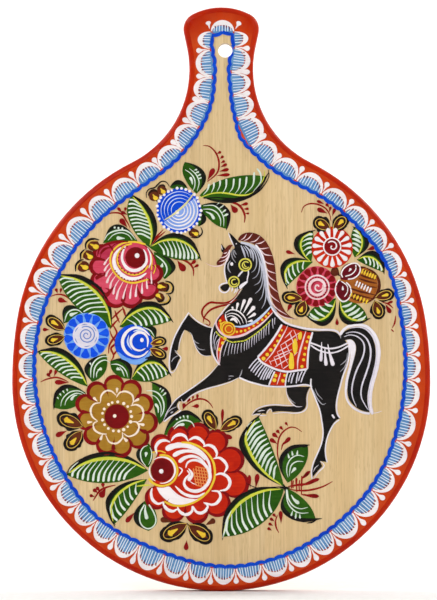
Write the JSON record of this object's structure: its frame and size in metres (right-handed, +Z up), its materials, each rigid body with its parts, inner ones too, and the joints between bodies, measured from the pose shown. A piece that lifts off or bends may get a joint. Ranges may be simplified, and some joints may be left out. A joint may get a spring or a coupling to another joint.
{
  "type": "painted wooden wall board",
  "caption": "Round glued wooden board with a flared handle and hanging hole, painted in folk style with a harnessed horse, flowers, leaves and a white lace border.",
  "frame": {"origin": "on the axis of the hanging hole, at the flat back face", "axes": "+Z up along the handle, -Y out of the painted face, +X to the right as seen from the front"},
  "size_m": [0.2304, 0.0115, 0.3216],
  "materials": {
    "linden_wood": "varnished, fine straight grain",
    "red_ground": "glossy brushed paint",
    "line_blue": "brushed paint under lacquer",
    "lace_white": "raised white paint",
    "wash_blue": "thin wash under lacquer",
    "horse_black": "brushed paint under lacquer",
    "mane_brown": "brushed paint under lacquer",
    "harness_red": "brushed paint under lacquer",
    "harness_gold": "brushed paint under lacquer",
    "heart_maroon": "brushed paint under lacquer",
    "bloom_blue": "brushed paint under lacquer",
    "bloom_pink": "brushed paint under lacquer",
    "bloom_ochre": "brushed paint under lacquer",
    "bloom_vermilion": "brushed paint under lacquer",
    "petal_shade": "brushed paint under lacquer",
    "bud_brown": "brushed paint under lacquer",
    "leaf_green": "brushed paint under lacquer",
    "leaf_dark": "brushed paint under lacquer",
    "berry_red": "brushed paint under lacquer"
  },
  "bodies": {
    "root": {"stave_far_left": "linden_wood", "stave_left": "linden_wood", "stave_centre": "linden_wood", "stave_right": "linden_wood", "stave_far_right": "linden_wood", "red_rim_coat": "red_ground", "blue_line": "line_blue", "lace_scallops": "lace_white", "lace_drops": "lace_white", "lace_wash": "wash_blue", "horse_body": "horse_black", "horse_raised_foreleg": "horse_black", "horse_far_hindleg": "horse_black", "horse_tail": "horse_black", "horse_muzzle": "horse_black", "horse_far_ear": "horse_black", "horse_mane": "mane_brown", "horse_forelock": "mane_brown", "saddle_cloth": "harness_red", "girth_strap": "harness_red", "breast_collar": "harness_red", "bridle_rings": "harness_gold", "breast_roundel": "harness_gold", "pink_flower_heart": "heart_maroon", "ochre_flower_heart": "heart_maroon", "red_rose_heart": "heart_maroon", "blue_rose": "bloom_blue", "blue_daisy": "bloom_blue", "blue_flower": "bloom_blue", "blue_flower_heart": "bloom_blue", "pink_flower_petals": "bloom_pink", "crimson_rosette": "bloom_pink", "ochre_flower_petals": "bloom_ochre", "striped_bud": "bloom_ochre", "red_rose_petals": "bloom_vermilion", "red_daisy": "bloom_vermilion", "pink_flower_shadow": "petal_shade", "ochre_flower_shadow": "petal_shade", "red_rose_shadow": "petal_shade", "striped_bud_petals": "petal_shade", "buds_upper_left": "bud_brown", "buds_left": "bud_brown", "buds_lower": "bud_brown", "buds_right": "bud_brown", "leaves_upper_left": "leaf_green", "leaves_left": "leaf_green", "leaves_lower_left": "leaf_green", "leaves_bottom": "leaf_green", "leaves_right": "leaf_green", "leaf_shadows_upper_left": "leaf_dark", "leaf_shadows_left": "leaf_dark", "leaf_shadows_lower_left": "leaf_dark", "leaf_shadows_bottom": "leaf_dark", "leaf_shadows_right": "leaf_dark", "berries_upper_left": "berry_red", "berries_left": "berry_red", "berries_lower": "berry_red", "berries_bottom": "berry_red", "berries_right": "berry_red"}
  },
  "joints": []
}
